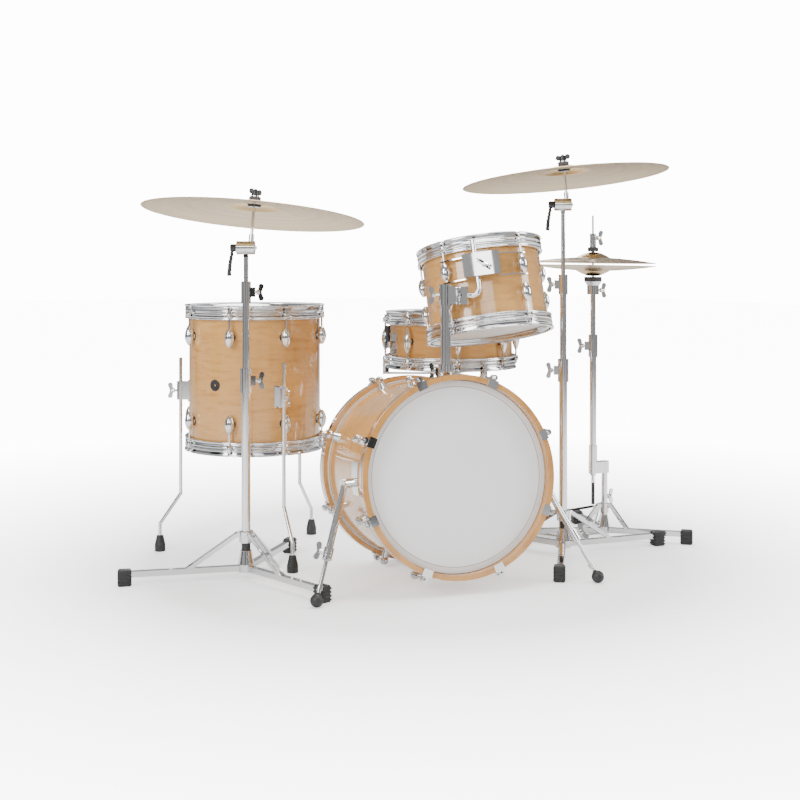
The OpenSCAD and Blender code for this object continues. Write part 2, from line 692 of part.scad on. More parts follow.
module snare_stand_base() kit("silver") snare_spot() {
    difference() {
        union() {
            translate([0, 0, 14]) cylinder(r = snare_tube_r + 19, h = 30);
            cylinder(r = snare_tube_r, h = snare_clamp_z + 4);
            translate([0, 0, 12]) cylinder(r = snare_tube_r + 4, h = 6);
            tube_clamp(snare_clamp_z, snare_tube_r, 52, 60);
        }
        around(snare_leg_angles) translate([snare_tube_r + 4, -snare_bar_w / 2 - pass_gap, 8])
            cube([40, snare_bar_w + 2 * pass_gap, 40]);
        translate([0, 0, 60]) cylinder(r = snare_post_d / 2 + tube_gap, h = snare_clamp_z);
        translate([0, 0, -5]) cylinder(r = 60, h = 15);
    }
    around(snare_leg_angles) translate([fold_pivot.x, 0, fold_pivot.y]) rotate([90, 0, 0])
        cylinder(r = 2.5, h = snare_bar_w + 8, center = true);
}

// Clamp round a tube's top end: collar, split ears and wing screw
module tube_clamp(z, r, h, turn) translate([0, 0, z]) {
    cylinder(r = r + clamp_wall, h = h);
    rotate(turn) {
        translate([0, -7, h / 2 - 12]) cube([r + 14, 14, 24]);
        translate([r + 12, 0, h / 2]) wing_screw(5);
    }
}

module snare_collar() kit("silver") snare_spot() {
    difference() {
        union() {
            translate([0, 0, fold_collar.y - 12]) cylinder(r = snare_tube_r + 6, h = 26);
            around(snare_leg_angles) translate([0, -snare_bar_w / 2, fold_collar.y - 7])
                cube([fold_collar.x + 5, snare_bar_w, 14]);
            rotate(40) translate([snare_tube_r + 4, 0, fold_collar.y + 4]) wing_screw(7);
        }
        cylinder(r = snare_tube_r + pin_gap, h = 300);
    }
    around(snare_leg_angles) translate([fold_collar.x, 0, fold_collar.y]) rotate([90, 0, 0])
        cylinder(r = 2.5, h = snare_bar_w + 7, center = true);
}

module snare_leg(i) kit("silver") snare_spot() rotate(snare_leg_angles[i]) {
    tip = snare_reach - foot_l / 2 + foot_past;
    difference() {
        union() {
            translate([fold_pivot.x, -snare_bar_w / 2, fold_pivot.y - snare_bar_h / 2])
                cube([snare_reach + foot_l / 2 - foot_past - fold_pivot.x, snare_bar_w, snare_bar_h]);
            translate([fold_pivot.x, 0, fold_pivot.y]) rotate([90, 0, 0])
                cylinder(r = snare_bar_h / 2, h = snare_bar_w, center = true);
            translate([fold_pivot.x + fold_leg_at, 0, fold_pivot.y]) rotate([90, 0, 0])
                cylinder(r = 3, h = snare_bar_w + 0.6, center = true);
        }
        translate([fold_pivot.x, 0, fold_pivot.y]) rotate([90, 0, 0])
            cylinder(r = 2.5 + pin_gap, h = 40, center = true);
        translate([snare_reach - foot_l / 2, -30, 0]) cube([60, 60, 60]);
    }
    translate([snare_reach - foot_l / 2, -foot_w / 2, 0]) cube([foot_l, foot_w, foot_h - 2]);
}

// Brace: two side plates, bridged near the collar, astride the collar's ear and the leg
module snare_brace(i) kit("silver") snare_spot() rotate(snare_leg_angles[i]) {
    top = [fold_collar.x, 0, fold_collar.y];
    low = [fold_pivot.x + fold_leg_at, 0, fold_pivot.y];
    length = norm(low - top);
    difference() {
        for (s = [-1, 1]) translate([0, s * (snare_bar_w / 2 + pass_gap + 1), 0])
            translate(top) pointing(low - top) union() {
                translate([-5, -1, 0]) cube([10, 2, length]);
                for (z = [0, length]) translate([0, 0, z]) rotate([90, 0, 0])
                    cylinder(r = 5, h = 2, center = true);
            }
        translate(top) rotate([90, 0, 0]) cylinder(r = 2.5 + pin_gap, h = 60, center = true);
        translate(low) rotate([90, 0, 0]) cylinder(r = 3.6, h = 60, center = true);
    }
    translate(top) pointing(low - top) translate([-4, -snare_bar_w / 2 - pass_gap, 30])
        cube([8, snare_bar_w + 2 * pass_gap, 4]);
}

module snare_post() kit("silver") snare_spot() {
    difference() {
        union() {
            translate([0, 0, 200]) cylinder(r = snare_post_d / 2, h = tilt_pivot_z - 15 - 200);
            translate([-12, -12, tilt_pivot_z - 20]) cube([24, 24, 8]);
            for (s = [-1, 1]) translate([-12, s * 9.5 - 2.5, tilt_pivot_z - 14])
                cube([24, 5, 14]);
            for (s = [-1, 1]) translate([0, s * 9.5, tilt_pivot_z]) rotate([90, 0, 0])
                cylinder(r = 12, h = 5, center = true);
        }
        translate([0, 0, 190]) cylinder(r = snare_post_d / 2 - 1.5, h = 150);
    }
    translate([0, 0, tilt_pivot_z]) rotate([90, 0, 0]) cylinder(r = 4, h = 26, center = true);
}

// Basket: knuckle on the post, three arms with rubber tips under the lower hoop
module snare_basket() kit("silver") snare_spot() {
    rim = snare_r + hoop_wall_out + 2;
    low = snare_rise - hoop_rise;
    difference() {
        union() {
            translate([0, 0, tilt_pivot_z]) rotate([90, 0, 0])
                cylinder(r = 11, h = 14 - 2 * pass_gap, center = true);
            translate([-7, -6.5, tilt_pivot_z]) cube([14, 13, basket_z - tilt_pivot_z]);
            translate([0, 0, basket_z - 8]) cylinder(r = 20, h = 10);
            around(basket_arm_angles) {
                translate([0, -5, basket_z - 6]) cube([rim + 8, 10, 6]);
                translate([rim + 2, -5, basket_z - 6]) cube([6, 10, low + 22 - basket_z + 6]);
            }
        }
        translate([0, 0, tilt_pivot_z]) rotate([90, 0, 0])
            cylinder(r = 4 + pin_gap, h = 60, center = true);
    }
    around(basket_arm_angles) difference() {
        translate([rim - 14, -8, basket_z]) cube([16, 16, low + 8 - basket_z]);
        translate([0, 0, low]) cylinder(r = rim, h = 40, $fn = 180);
        translate([0, 0, low - 30]) cylinder(r = rim - 10, h = 60, $fn = 180);
    }
}

// ---------- cymbal stands ----------
// Leg bars, hub, ring, brace collar and braces of a flat-leg tripod
module tripod(reach, angles, hub_r, brace_at, brace_z) {
    translate([0, 0, 19]) cylinder(r = hub_r + 9, h = 19);
    translate([0, 0, 38]) cylinder(r1 = hub_r + 9, r2 = hub_r + 3, h = 34);
    translate([0, 0, brace_z - 20]) cylinder(r = hub_r + 6, h = 27);
    around(angles) {
        translate([0, -bar_w / 2, bar_z]) cube([reach + foot_l / 2 - foot_past, bar_w, bar_h]);
        translate([hub_r, -6, brace_z - 6]) cube([14, 12, 12]);
        top = [hub_r + 12, 0, brace_z];
        low = [brace_at, 0, bar_z + bar_h - 2];
        for (s = [-1, 1]) translate([0, s * 7, 0]) translate(top) pointing(low - top)
            translate([-5, -1.5, -3]) cube([10, 3, norm(low - top) + 6]);
        for (p = [top, low]) translate(p) rotate([90, 0, 0])
            cylinder(r = 2.5, h = 20, center = true);
    }
}

module stand_base(at, turn, clamp_z, clamp_turn) kit("silver")
    translate([at.x, at.y, 0]) difference() {
        union() {
            tripod(stand_reach, [for (i = [0:2]) turn + i * 120], lower_r, 143, 112);
            translate([0, 0, 19]) cylinder(r = lower_r, h = clamp_z - 15);
            tube_clamp(clamp_z, lower_r, clamp_h[0], clamp_turn);
        }
        translate([0, 0, 60]) cylinder(r = mid_r + tube_gap, h = clamp_z + 100);
    }

module ride_stand_base() stand_base(ride_at, ride_leg_turn, ride_clamps[0], view_turn);
module crash_stand_base() stand_base(crash_at, crash_leg_turn, crash_clamps[0], view_turn + 180);

// Middle tube with its own clamp on top; drop is the length inside the lower tube
module mid_tube(at, clamps, drop, clamp_turn) kit("silver")
    translate([at.x, at.y, 0]) difference() {
        union() {
            translate([0, 0, clamps[0] - drop])
                cylinder(r = mid_r, h = clamps[1] - clamps[0] + drop + 10);
            tube_clamp(clamps[1], mid_r, clamp_h[1], clamp_turn);
        }
        translate([0, 0, clamps[0] - drop - 1])
            cylinder(r = top_r + tube_gap, h = clamps[1] + drop);
    }

module ride_mid_tube() mid_tube(ride_at, ride_clamps, 180, view_turn);
module crash_mid_tube() mid_tube(crash_at, crash_clamps, 180, view_turn + 180);

// Top tube, ending in half of the tilter's barrel and its pin
module top_tube(at, clamp_z, pivot_z, drop) kit("silver") translate([at.x, at.y, 0]) {
    difference() {
        union() {
            translate([0, 0, clamp_z - drop]) cylinder(r = top_r, h = pivot_z - clamp_z + drop - 6);
            translate([0, 0, pivot_z]) rotate(view_turn) {
                rotate([0, -90, 0]) translate([0, 0, pass_gap / 2])
                    cylinder(r = tilter_r, h = tilter_w / 2);
                translate([-top_r, -top_r, -tilter_r - 6]) cube([top_r * 2 - 1, top_r * 2, 14]);
            }
        }
        translate([0, 0, pivot_z]) rotate(view_turn) rotate([0, 90, 0])
            translate([0, 0, -pass_gap / 2]) cylinder(r = tilter_r + 1, h = tilter_w);
    }
    translate([0, 0, pivot_z]) rotate(view_turn) rotate([0, 90, 0])
        translate([0, 0, -10]) cylinder(r = tilter_pin_r, h = 10 + tilter_w / 2 + 4);
}

module ride_top_tube() top_tube(ride_at, ride_clamps[1], ride_tilter_z, 120);
module crash_top_tube() top_tube(crash_at, crash_clamps[1], crash_tilter_z, 150);

// Where a cymbal rod starts, on the tilter's moving half
function rod_foot(at, pivot_z) = [at.x + tilter_w / 4 * cos(view_turn),
    at.y + tilter_w / 4 * sin(view_turn), pivot_z];

// Moving half of the tilter, lever, cymbal rod, seat, felts and wing nut
module tilter(at, pivot_z, lean, rise) kit("silver") {
    seat_z = rise + bow_h + bell_h;
    difference() {
        union() {
            translate([at.x, at.y, pivot_z]) rotate(view_turn) rotate([0, 90, 0])
                translate([0, 0, pass_gap / 2]) cylinder(r = tilter_r, h = tilter_w / 2 - 1);
            translate(rod_foot(at, pivot_z)) pointing(lean) cylinder(r = 7, h = 34);
            translate(rod_foot(at, pivot_z)) pointing(lean) cylinder(r = cymbal_rod_r, h = seat_z + 30);
        }
        translate([at.x, at.y, pivot_z]) rotate(view_turn) rotate([0, 90, 0])
            cylinder(r = tilter_pin_r + pin_gap, h = 100, center = true);
    }
    translate(rod_foot(at, pivot_z)) pointing(lean) {
        low = seat_z - cymbal_t - pass_gap - felt_h;
        ring(felt_r, cymbal_rod_r, low, low + felt_h - 1);
        ring(felt_r - 2, cymbal_rod_r, low - 5, low);
        ring(felt_r - 3, cymbal_rod_r, seat_z + pass_gap, seat_z + pass_gap + felt_h);
        ring(11, cymbal_rod_r, seat_z + pass_gap + felt_h, seat_z + pass_gap + felt_h + 3);
        translate([0, 0, seat_z + felt_h + 4]) cylinder(r1 = 10, r2 = 8, h = 14);
        for (s = [-1, 1]) translate([s * 14, 0, seat_z + felt_h + 14]) rotate([90, 0, 0])
            cylinder(r = 7, h = 4, center = true);
    }
}

module ride_tilter() tilter(ride_at, ride_tilter_z, ride_lean, ride_rise);
module crash_tilter() tilter(crash_at, crash_tilter_z, crash_lean, crash_rise);

// Height of a cymbal's upper face at radius q, measured from its rim
function dish(q, r, bow, bell, br) =
    bow * (1 - pow(q / r, 2)) + (q < br ? bell * (1 - pow(q / br, 2)) : 0);

// Thin turned dish with a bell and a centre hole
module cymbal(r, bow, bell, br) rotate_extrude($fn = 180) {
    steps = 20;
    radii = concat([for (i = [0:6]) cymbal_hole_r + (br - cymbal_hole_r) * i / 7],
        [for (i = [0:steps]) br + (r - br) * i / steps]);
    last = len(radii) - 1;
    polygon(concat(
        [for (i = [0:last]) [radii[i], dish(radii[i], r, bow, bell, br)]],
        [for (i = [0:last]) let (q = radii[last - i])
            [q, dish(q, r, bow, bell, br) - cymbal_t]]));
}

module stand_cymbal(at, pivot_z, lean, rise) kit("goldenrod") translate(rod_foot(at, pivot_z))
    pointing(lean) translate([0, 0, rise]) cymbal(cymbal_d / 2, bow_h, bell_h, bell_r);

module ride_cymbal() stand_cymbal(ride_at, ride_tilter_z, ride_lean, ride_rise);
module crash_cymbal() stand_cymbal(crash_at, crash_tilter_z, crash_lean, crash_rise);

// ---------- hi-hat ----------
module hat_spot() translate([hat_at.x, hat_at.y, 0]) children();

module hihat_stand_base() kit("silver") {
    offset = hat_hub - hat_at;
    difference() {
        union() {
            translate([hat_hub.x, hat_hub.y, 0]) {
                tripod(hat_reach, hat_leg_angles, 6, 64, 98);
                translate([0, 0, 30]) cylinder(r = 8.5, h = hat_block_z - 20);
                rotate(20) translate([8, 0, 122]) wing_screw(8);
            }
            hat_spot() {
                translate([0, 0, hat_block_z]) linear_extrude(33) {
                    circle(r = 13);
                    rotate(atan2(offset.y, offset.x)) translate([0, -11]) square([norm(offset), 22]);
                    translate(offset) circle(r = 13);
                }
                translate([0, 0, hat_block_z - 7]) cylinder(r = 8, h = 8);
                translate([0, 0, hat_block_z + 30]) cylinder(r = 12, h = 50);
                translate([0, 0, hat_block_z + 60])
                    cylinder(r = hat_lower_r, h = hat_clamp_z - hat_block_z - 50);
                tube_clamp(hat_clamp_z, hat_lower_r, 64, view_turn + 180);
            }
        }
        hat_spot() {
            translate([0, 0, hat_block_z + 40]) cylinder(r = hat_upper_r + tube_gap, h = 600);
            translate([0, 0, hat_block_z - 20]) cylinder(r = pull_r + pass_gap, h = 100);
        }
    }
    // heel plate and the two steel wires that tie it to the hub
    hat_spot() rotate(pedal_turn) {
        translate([pedal_heel - 8, -pedal_w / 2, 0]) cube([40, pedal_w, 7]);
        for (s = [-1, 1]) translate([pedal_heel, s * (pedal_w / 2 - 5), 0]) {
            translate([-7, -4, 0]) cube([14, 8, pedal_heel_z]);
            translate([0, 0, pedal_heel_z]) rotate([90, 0, 0])
                cylinder(r = 7, h = 8, center = true);
        }
        translate([pedal_heel, 0, pedal_heel_z]) rotate([90, 0, 0])
            cylinder(r = pedal_pin_r, h = pedal_w, center = true);
        for (s = [-1, 1]) bar([pedal_heel - 6, s * 20, 4], [44, s * 20, 4], 3);
        translate([38, -23, 1]) cube([8, 46, 12]);
    }
    difference() {
        hat_spot() bar([42 * cos(pedal_turn), 42 * sin(pedal_turn), 9],
            [offset.x, offset.y, 22], 4);
        translate([hat_hub.x, hat_hub.y, 19]) cylinder(r = 15, h = 19);
        hat_spot() rotate(pedal_turn) translate([38, -23, 1]) cube([8, 46, 12]);
    }
}

// Upper tube with the seat for the lower cymbal
module hihat_upper_tube() kit("silver") hat_spot() {
    seat = hat_rim_z - hat_bow_h - hat_bell_h;
    difference() {
        union() {
            translate([0, 0, 340]) cylinder(r = hat_upper_r, h = seat - 30 - 340);
            translate([0, 0, seat - 52]) cylinder(r = 17, h = 26);
            translate([0, 0, seat - 26]) cylinder(r1 = 17, r2 = 25, h = 12);
            translate([0, 0, seat - 14]) cylinder(r = 25, h = 13 - pass_gap);
            translate([15, 0, seat - 40]) wing_screw(8);
        }
        translate([0, 0, 200]) cylinder(r = pull_r + 1, h = 700);
    }
}

module hihat_bottom_cymbal() kit("goldenrod") hat_spot() translate([0, 0, hat_rim_z])
    rotate([0, hat_lean, 0]) mirror([0, 0, 1]) cymbal(hat_d / 2, hat_bow_h, hat_bell_h, hat_bell_r);

hat_top_z = hat_rim_z + hat_gap;
hat_bell_top = hat_top_z + hat_bow_h + hat_bell_h;

// Pull rod with its clutch, felts and the chain down to the pedal
module hihat_pull_rod() kit("silver") hat_spot() {
    translate([0, 0, 180]) cylinder(r = pull_r, h = 926 - 180);
    translate([0, 0, hat_bell_top + pass_gap + 12]) cylinder(r = 9, h = 40);
    translate([8, 0, hat_bell_top + 40]) wing_screw(5);
    translate([0, 0, hat_bell_top - 14]) cylinder(r = 5, h = 30);
    translate([0, 0, hat_bell_top + 1 + pass_gap]) cylinder(r = 15, h = 12);
    translate([0, 0, hat_bell_top - cymbal_t - 1 - pass_gap - 11]) cylinder(r = 13, h = 9);
    translate([0, 0, 172]) cylinder(r = 5, h = 10);
    translate([-4, -3, pedal_toe_z + 6]) cube([8, 6, 172 - pedal_toe_z]);
}

module hihat_top_cymbal() kit("goldenrod") hat_spot() translate([0, 0, hat_top_z])
    rotate([0, hat_lean, 0]) cymbal(hat_d / 2, hat_bow_h, hat_bell_h, hat_bell_r);

// Footboard rising from its heel hinge to a narrow toe under the chain
module hihat_footboard() kit("dimgray") hat_spot() rotate(pedal_turn) {
    rise = atan2(pedal_toe_z - pedal_heel_z, pedal_heel);
    length = norm([pedal_heel, pedal_toe_z - pedal_heel_z]);
    difference() {
        union() {
            translate([pedal_heel, 0, pedal_heel_z]) rotate([0, -rise, 180])
                translate([0, 0, -pedal_t / 2]) linear_extrude(pedal_t)
                    polygon([[12, -pedal_w / 2 + 12], [12, pedal_w / 2 - 12],
                        [length * 0.25, pedal_w / 2], [length * 0.6, pedal_w / 2],
                        [length * 0.78, pedal_toe_w / 2], [length, pedal_toe_w / 2],
                        [length, -pedal_toe_w / 2], [length * 0.78, -pedal_toe_w / 2],
                        [length * 0.6, -pedal_w / 2], [length * 0.25, -pedal_w / 2]]);
            translate([pedal_heel, 0, pedal_heel_z]) rotate([90, 0, 0])
                cylinder(r = 7, h = pedal_w - 22, center = true);
            translate([pedal_heel - 18, 12 - pedal_w / 2, pedal_heel_z - 3])
                cube([18, pedal_w - 24, 8]);
        }
        translate([pedal_heel, 0, pedal_heel_z]) rotate([90, 0, 0])
            cylinder(r = pedal_pin_r + pin_gap, h = 200, center = true);
    }
}

// Rubber feet on the leg bars of the ride, crash and hi-hat stands
module rubber_feet() kit("dimgray") {
    feet(ride_at, stand_reach, [for (i = [0:2]) ride_leg_turn + i * 120]);
    feet(crash_at, stand_reach, [for (i = [0:2]) crash_leg_turn + i * 120]);
    feet(hat_hub, hat_reach, hat_leg_angles);
}

module feet(at, reach, angles) translate([at.x, at.y, 0]) around(angles) difference() {
    translate([reach - foot_l / 2, -foot_w / 2, 0]) cube([foot_l, foot_w, foot_h]);
    translate([0, -bar_w / 2, bar_z]) cube([reach + foot_l / 2 - foot_past, bar_w, bar_h]);
}

bass_shell();
bass_hoops();
bass_heads();
bass_lugs();
bass_claws();
bass_brackets();
spur_tube(-1);  // left_spur_tube
spur_rod(-1);  // left_spur_rod
spur_tube(1);  // right_spur_tube
spur_rod(1);  // right_spur_rod
tom_post();
tom_clamp();
tom_arm();
tom_suspension();
tom_shell();
tom_hoops();
tom_heads();
tom_lugs();
floor_tom_shell();
floor_tom_hoops();
floor_tom_heads();
floor_tom_lugs();
leg_brackets();
floor_leg(floor_leg_angles[0]);  // floor_leg_1
floor_leg(floor_leg_angles[1]);  // floor_leg_2
floor_leg(floor_leg_angles[2]);  // floor_leg_3
snare_stand_base();
snare_collar();
snare_leg(0);  // snare_leg_1
snare_leg(1);  // snare_leg_2
snare_leg(2);  // snare_leg_3
snare_brace(0);  // snare_brace_1
snare_brace(1);  // snare_brace_2
snare_brace(2);  // snare_brace_3
snare_post();
snare_basket();
snare_shell();
snare_hoops();
snare_heads();
snare_lugs();
snare_wires();
snare_strainer();
snare_lever();
ride_stand_base();
ride_mid_tube();
ride_top_tube();
ride_tilter();
ride_cymbal();
crash_stand_base();
crash_mid_tube();
crash_top_tube();
crash_tilter();
crash_cymbal();
hihat_stand_base();
hihat_upper_tube();
hihat_bottom_cymbal();
hihat_pull_rod();
hihat_top_cymbal();
hihat_footboard();
rubber_feet();
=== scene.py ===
import json
import math
import bmesh
import bpy
from mathutils import Matrix, Vector


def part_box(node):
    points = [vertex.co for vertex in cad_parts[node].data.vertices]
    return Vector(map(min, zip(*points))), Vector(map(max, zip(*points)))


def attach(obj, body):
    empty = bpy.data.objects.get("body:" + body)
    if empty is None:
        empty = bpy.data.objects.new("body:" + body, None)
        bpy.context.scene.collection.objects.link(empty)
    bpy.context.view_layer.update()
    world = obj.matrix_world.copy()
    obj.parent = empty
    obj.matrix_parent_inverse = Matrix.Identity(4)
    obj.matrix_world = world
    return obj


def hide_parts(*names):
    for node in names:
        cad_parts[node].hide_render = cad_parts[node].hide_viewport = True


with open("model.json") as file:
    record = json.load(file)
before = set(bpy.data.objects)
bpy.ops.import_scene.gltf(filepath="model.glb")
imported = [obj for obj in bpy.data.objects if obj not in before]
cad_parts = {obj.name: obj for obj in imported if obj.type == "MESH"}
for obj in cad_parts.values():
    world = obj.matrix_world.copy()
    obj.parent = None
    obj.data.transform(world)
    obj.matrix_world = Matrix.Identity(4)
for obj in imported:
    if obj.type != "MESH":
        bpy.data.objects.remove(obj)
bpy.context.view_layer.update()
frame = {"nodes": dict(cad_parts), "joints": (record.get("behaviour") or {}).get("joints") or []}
nodes = frame["nodes"]
scene = bpy.context.scene


# Places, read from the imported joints
def jointNamed(name):
    return next(j for j in frame["joints"] if j["name"] == name)


def jointPlace(name):
    joint = jointNamed(name)
    return Vector(joint["pos_m"]), Vector(joint["axis"]).normalized()


def middle(node):
    low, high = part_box(node)
    return (Vector(low) + Vector(high)) / 2


bassMiddle = middle("bass_shell")
floorMiddle = middle("floor_tom_shell")
tomMiddle = middle("tom_shell")
snareMiddle = middle("snare_shell")
tomAxis = Vector(jointNamed("tom_slide")["axis"]).normalized()
bassTilt = math.radians(5)
bassAxis = Vector((0, -math.cos(bassTilt), math.sin(bassTilt)))
upward = Vector((0, 0, 1))
drumSizes = {"bass": {"radius": 0.2286, "half": 0.1778}, "floor": {"radius": 0.1778, "half": 0.1778},
             "tom": {"radius": 0.1524, "half": 0.1016}, "snare": {"radius": 0.1778, "half": 0.0635}}


# Shader building
class Shader:
    def __init__(self, name):
        self.material = bpy.data.materials.new(name)
        self.material.use_nodes = True
        self.tree = self.material.node_tree
        self.surface = self.tree.nodes["Principled BSDF"]
        self.place = self.add("ShaderNodeTexCoord").outputs["Object"]

    def add(self, kind, **settings):
        made = self.tree.nodes.new(kind)
        for key, value in settings.items():
            setattr(made, key, value)
        return made

    def plug(self, value, socket):
        if isinstance(value, bpy.types.NodeSocket):
            self.tree.links.new(value, socket)
        else:
            socket.default_value = value

    def math(self, operation, a, b=0.0):
        made = self.add("ShaderNodeMath", operation=operation)
        self.plug(a, made.inputs[0])
        self.plug(b, made.inputs[1])
        return made.outputs[0]

    def vector(self, operation, a, b=(0, 0, 0), scale=None):
        made = self.add("ShaderNodeVectorMath", operation=operation)
        self.plug(a, made.inputs[0])
        self.plug(b, made.inputs[1])
        if scale is not None:
            self.plug(scale, made.inputs["Scale"])
        return made.outputs["Value" if operation in ("LENGTH", "DOT_PRODUCT") else "Vector"]

    def noise(self, place, scale, detail=3.0, roughness=0.5):
        made = self.add("ShaderNodeTexNoise")
        self.plug(place, made.inputs["Vector"])
        made.inputs["Scale"].default_value = scale
        made.inputs["Detail"].default_value = detail
        made.inputs["Roughness"].default_value = roughness
        return made.outputs["Fac"]

    def ramp(self, fac, stops):
        made = self.add("ShaderNodeValToRGB")
        self.plug(fac, made.inputs["Fac"])
        points = made.color_ramp.elements
        while len(points) < len(stops):
            points.new(0.5)
        for point, (at, colour) in zip(points, stops):
            point.position = at
            point.color = (*colour, 1) if len(colour) == 3 else colour
        return made.outputs["Color"]

    def span(self, fac, low, high, a=0.0, b=1.0):
        made = self.add("ShaderNodeMapRange")
        for value, key in ((fac, "Value"), (low, "From Min"), (high, "From Max"),
                           (a, "To Min"), (b, "To Max")):
            self.plug(value, made.inputs[key])
        return made.outputs["Result"]

    def blend(self, fac, a, b, mode="MIX"):
        made = self.add("ShaderNodeMix", data_type="RGBA", blend_type=mode)
        self.plug(fac, made.inputs[0])
        self.plug(a, made.inputs[6])
        self.plug(b, made.inputs[7])
        return made.outputs[2]

    def mixed(self, fac, a, b):
        made = self.add("ShaderNodeMix", data_type="FLOAT")
        self.plug(fac, made.inputs[0])
        self.plug(a, made.inputs[2])
        self.plug(b, made.inputs[3])
        return made.outputs[0]

    def bump(self, height, distance, strength=1.0):
        made = self.add("ShaderNodeBump")
        made.inputs["Strength"].default_value = strength
        made.inputs["Distance"].default_value = distance
        self.plug(height, made.inputs["Height"])
        return made.outputs["Normal"]

    def between(self, value, low, high):
        above = self.math("GREATER_THAN", value, low)
        below = self.math("LESS_THAN", value, high)
        return self.math("MULTIPLY", above, below)

    def along(self, centre, axis):
        moved = self.vector("SUBTRACT", self.place, tuple(centre))
        height = self.vector("DOT_PRODUCT", moved, tuple(axis))
        away = self.vector("LENGTH", self.vector("CROSS_PRODUCT", moved, tuple(axis)))
        return moved, height, away

    def finish(self, **inputs):
        for key, value in inputs.items():
            label = key[0].upper() + "".join(" " + c if c.isupper() else c for c in key[1:])
            self.plug(value, self.surface.inputs[label.replace("Ior", "IOR")])
        return self.material


# Lacquered maple: fine pores and broad figure stretched along the grain
def mapleMaterial(name, centre, axis, stretch, pale, dark, gloss=0.10):
    s = Shader(name)
    moved, height, away = s.along(centre, axis)
    grainDir = s.vector("SCALE", tuple(axis), scale=s.math("MULTIPLY", height, stretch - 1.0))
    place = s.vector("ADD", moved, grainDir)
    figure = s.noise(place, 16.0, 5.0, 0.6)
    fibres = s.noise(place, 170.0, 4.0, 0.65)
    curl = s.noise(moved, 7.0, 2.0)
    colour = s.ramp(figure, [(0.30, dark), (0.50, pale), (0.72, tuple(min(1, c * 1.06) for c in pale))])
    colour = s.blend(s.span(fibres, 0.35, 0.75, 0.0, 0.40), colour, (*[c * 0.78 for c in pale], 1))
    colour = s.blend(s.span(curl, 0.35, 0.7, 0.0, 0.22), colour, (*dark, 1))
    return s.finish(baseColor=colour, roughness=s.span(fibres, 0.3, 0.8, gloss, gloss + 0.08),
                    coatWeight=0.6, coatRoughness=0.04,
                    normal=s.bump(fibres, 0.00015, 0.35))


# Chrome plate; bands = (low, high, inner radius, outer radius, colour, roughness) along an axis
def chromeMaterial(name, centre=(0, 0, 0), axis=(0, 0, 1), bands=(), tone=0.82):
    s = Shader(name)
    smear = s.noise(s.place, 9.0, 4.0, 0.6)
    specks = s.noise(s.place, 420.0, 2.0)
    colour = s.blend(smear, (tone, tone, tone * 1.012, 1), (tone * 0.93, tone * 0.935, tone * 0.95, 1))
    rough = s.span(smear, 0.3, 0.7, 0.05, 0.11)
    metal = 1.0
    bumpSize = s.math("MULTIPLY", specks, 0.15)
    if bands:
        moved, height, away = s.along(centre, axis)
        for low, high, inner, outer, bandColour, bandRough in bands:
            inside = s.math("MULTIPLY", s.between(height, low, high), s.between(away, inner, outer))
            mottled = s.blend(s.noise(s.place, 700.0, 3.0), (*bandColour, 1),
                              (*[min(1, c * 1.8 + 0.004) for c in bandColour], 1))
            colour = s.blend(inside, colour, mottled)
            rough = s.mixed(inside, rough, bandRough)
            metal = s.mixed(inside, metal, 0.0)
            bumpSize = s.mixed(inside, bumpSize, specks)
    return s.finish(baseColor=colour, metallic=metal, roughness=rough,
                    normal=s.bump(bumpSize, 0.00012, 0.4))


# Cast hoop: chrome with a rounded flange at each edge and a flatter waist between them, and a painted dark
# reflection band across the waist
def hoopMaterial(name, centre, axis, half, reach):
    s = Shader(name)
    moved, height, away = s.along(centre, axis)
    fromEnd = s.math("ABSOLUTE", s.math("SUBTRACT", s.math("ABSOLUTE", height), half))
    swell = s.math("SINE", s.math("MULTIPLY", fromEnd, math.pi / reach * 2.0))
    smear = s.noise(s.place, 9.0, 4.0, 0.6)
    specks = s.noise(s.place, 420.0, 2.0)
    # painted reflection: the chrome's colour is darkened across the waist to stand in for the dark lines it
    # mirrors
    waist = s.math("MULTIPLY", s.between(fromEnd, reach * 0.18, reach * 0.62), 0.35)
    colour = s.blend(smear, (0.82, 0.82, 0.83, 1), (0.76, 0.765, 0.78, 1))
    colour = s.blend(waist, colour, (0.16, 0.165, 0.18, 1))
    rounded = s.bump(swell, 0.0040, 0.9)
    fine = s.add("ShaderNodeBump")
    fine.inputs["Strength"].default_value = 0.3
    fine.inputs["Distance"].default_value = 0.0001
    s.plug(specks, fine.inputs["Height"])
    s.plug(rounded, fine.inputs["Normal"])
    return s.finish(baseColor=colour, metallic=1.0, roughness=s.span(smear, 0.3, 0.7, 0.05, 0.11),
                    normal=fine.outputs["Normal"])


def rubberMaterial(name, colour=(0.018, 0.018, 0.019), rough=0.55):
    s = Shader(name)
    grain = s.noise(s.place, 900.0, 3.0)
    dust = s.noise(s.place, 24.0, 4.0)
    shade = s.blend(s.span(dust, 0.45, 0.8, 0, 0.5), (*colour, 1), (*[c * 2.4 for c in colour], 1))
    return s.finish(baseColor=shade, roughness=s.span(dust, 0.3, 0.7, rough - 0.08, rough + 0.1),
                    normal=s.bump(grain, 0.0002, 0.5))
